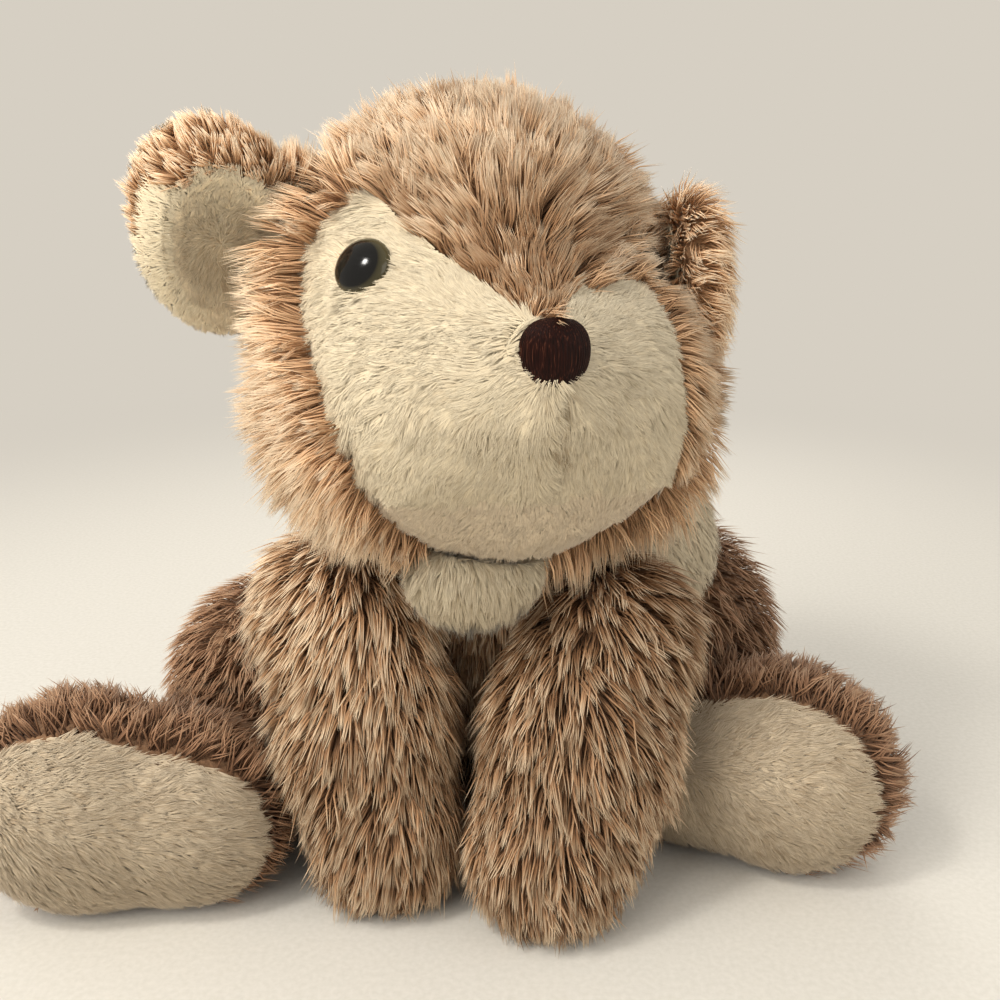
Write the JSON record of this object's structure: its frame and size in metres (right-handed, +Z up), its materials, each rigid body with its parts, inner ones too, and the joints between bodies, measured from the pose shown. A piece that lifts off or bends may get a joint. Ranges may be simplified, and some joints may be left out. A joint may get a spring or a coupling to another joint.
{
  "type": "plush animal",
  "caption": "Seated long-pile stuffed animal with a turned head, cream face mask, lined ears, glossy plastic eyes, thread nose, hanging arms and splayed legs with cream soles",
  "frame": {"origin": "on the floor under the middle of the toy's outer box", "axes": "+Z up, the toy looks along -Y, its own left is +X"},
  "size_m": [0.3192, 0.2134, 0.2599],
  "materials": {
    "long_pile": "long silky pile",
    "short_pile": "dense short pile",
    "satin_thread": "satin",
    "eye_plastic": "polished",
    "washer_nylon": "moulded",
    "bag_cotton": "plain weave"
  },
  "bodies": {
    "torso": {"torso": "long_pile", "belly_panel": "short_pile", "seat_flap": "long_pile", "bean_bag": "bag_cotton"},
    "neck": {"neck_collar": "long_pile"},
    "head": {"head": "long_pile", "cheek_left": "short_pile", "cheek_right": "short_pile", "chin_panel": "short_pile", "forehead_gusset": "long_pile", "nose": "satin_thread", "throat_bib": "short_pile", "eye_left": "eye_plastic", "eye_right": "eye_plastic", "eye_washer_left": "washer_nylon", "eye_washer_right": "washer_nylon"},
    "ear_left": {"ear_shell_left": "long_pile", "ear_lining_left": "short_pile"},
    "ear_right": {"ear_shell_right": "long_pile", "ear_lining_right": "short_pile"},
    "arm_left": {"arm_left": "long_pile"},
    "arm_right": {"arm_right": "long_pile"},
    "leg_left": {"haunch_left": "long_pile", "foot_left": "long_pile", "sole_left": "short_pile"},
    "leg_right": {"haunch_right": "long_pile", "foot_right": "long_pile", "sole_right": "short_pile"},
    "tail": {"tail": "long_pile"}
  },
  "joints": [
    {"name": "neck_turn", "type": "hinge", "parent": "torso", "child": "neck", "pos_m": [0.01037, -0.01713, 0.189], "axis": [0, -0.3584, 0.9336], "range_deg": [-18, 10]},
    {"name": "head_nod", "type": "hinge", "parent": "neck", "child": "head", "pos_m": [0.01037, -0.01713, 0.189], "axis": [0.9613, 0.2756, 0], "range_deg": [-20, 6]},
    {"name": "ear_left_fold", "type": "hinge", "parent": "head", "child": "ear_left", "pos_m": [0.06961, 0.00363, 0.20752], "axis": [-0.0476, 0.3387, -0.9397], "range_deg": [-35, 0]},
    {"name": "ear_right_fold", "type": "hinge", "parent": "head", "child": "ear_right", "pos_m": [-0.04162, -0.03545, 0.22658], "axis": [-0.043, -0.4345, 0.8996], "range_deg": [-15, 15]},
    {"name": "arm_left_swing", "type": "hinge", "parent": "torso", "child": "arm_left", "pos_m": [0.05668, -0.03366, 0.09], "axis": [-0.9397, -0.342, 0], "range_deg": [0, 35]},
    {"name": "arm_right_swing", "type": "hinge", "parent": "torso", "child": "arm_right", "pos_m": [-0.03232, -0.03266, 0.099], "axis": [-0.9397, 0.342, 0], "range_deg": [0, 45]},
    {"name": "leg_left_splay", "type": "hinge", "parent": "torso", "child": "leg_left", "pos_m": [0.08468, 0.03234, 0.04], "axis": [0, 0, 1], "range_deg": [0, 30]},
    {"name": "leg_right_splay", "type": "hinge", "parent": "torso", "child": "leg_right", "pos_m": [-0.06632, 0.03034, 0.04], "axis": [0, 0, -1], "range_deg": [0, 30]},
    {"name": "tail_lift", "type": "hinge", "parent": "torso", "child": "tail", "pos_m": [0.01968, 0.06934, 0.05], "axis": [1, 0, 0], "range_deg": [-8, 15]}
  ]
}
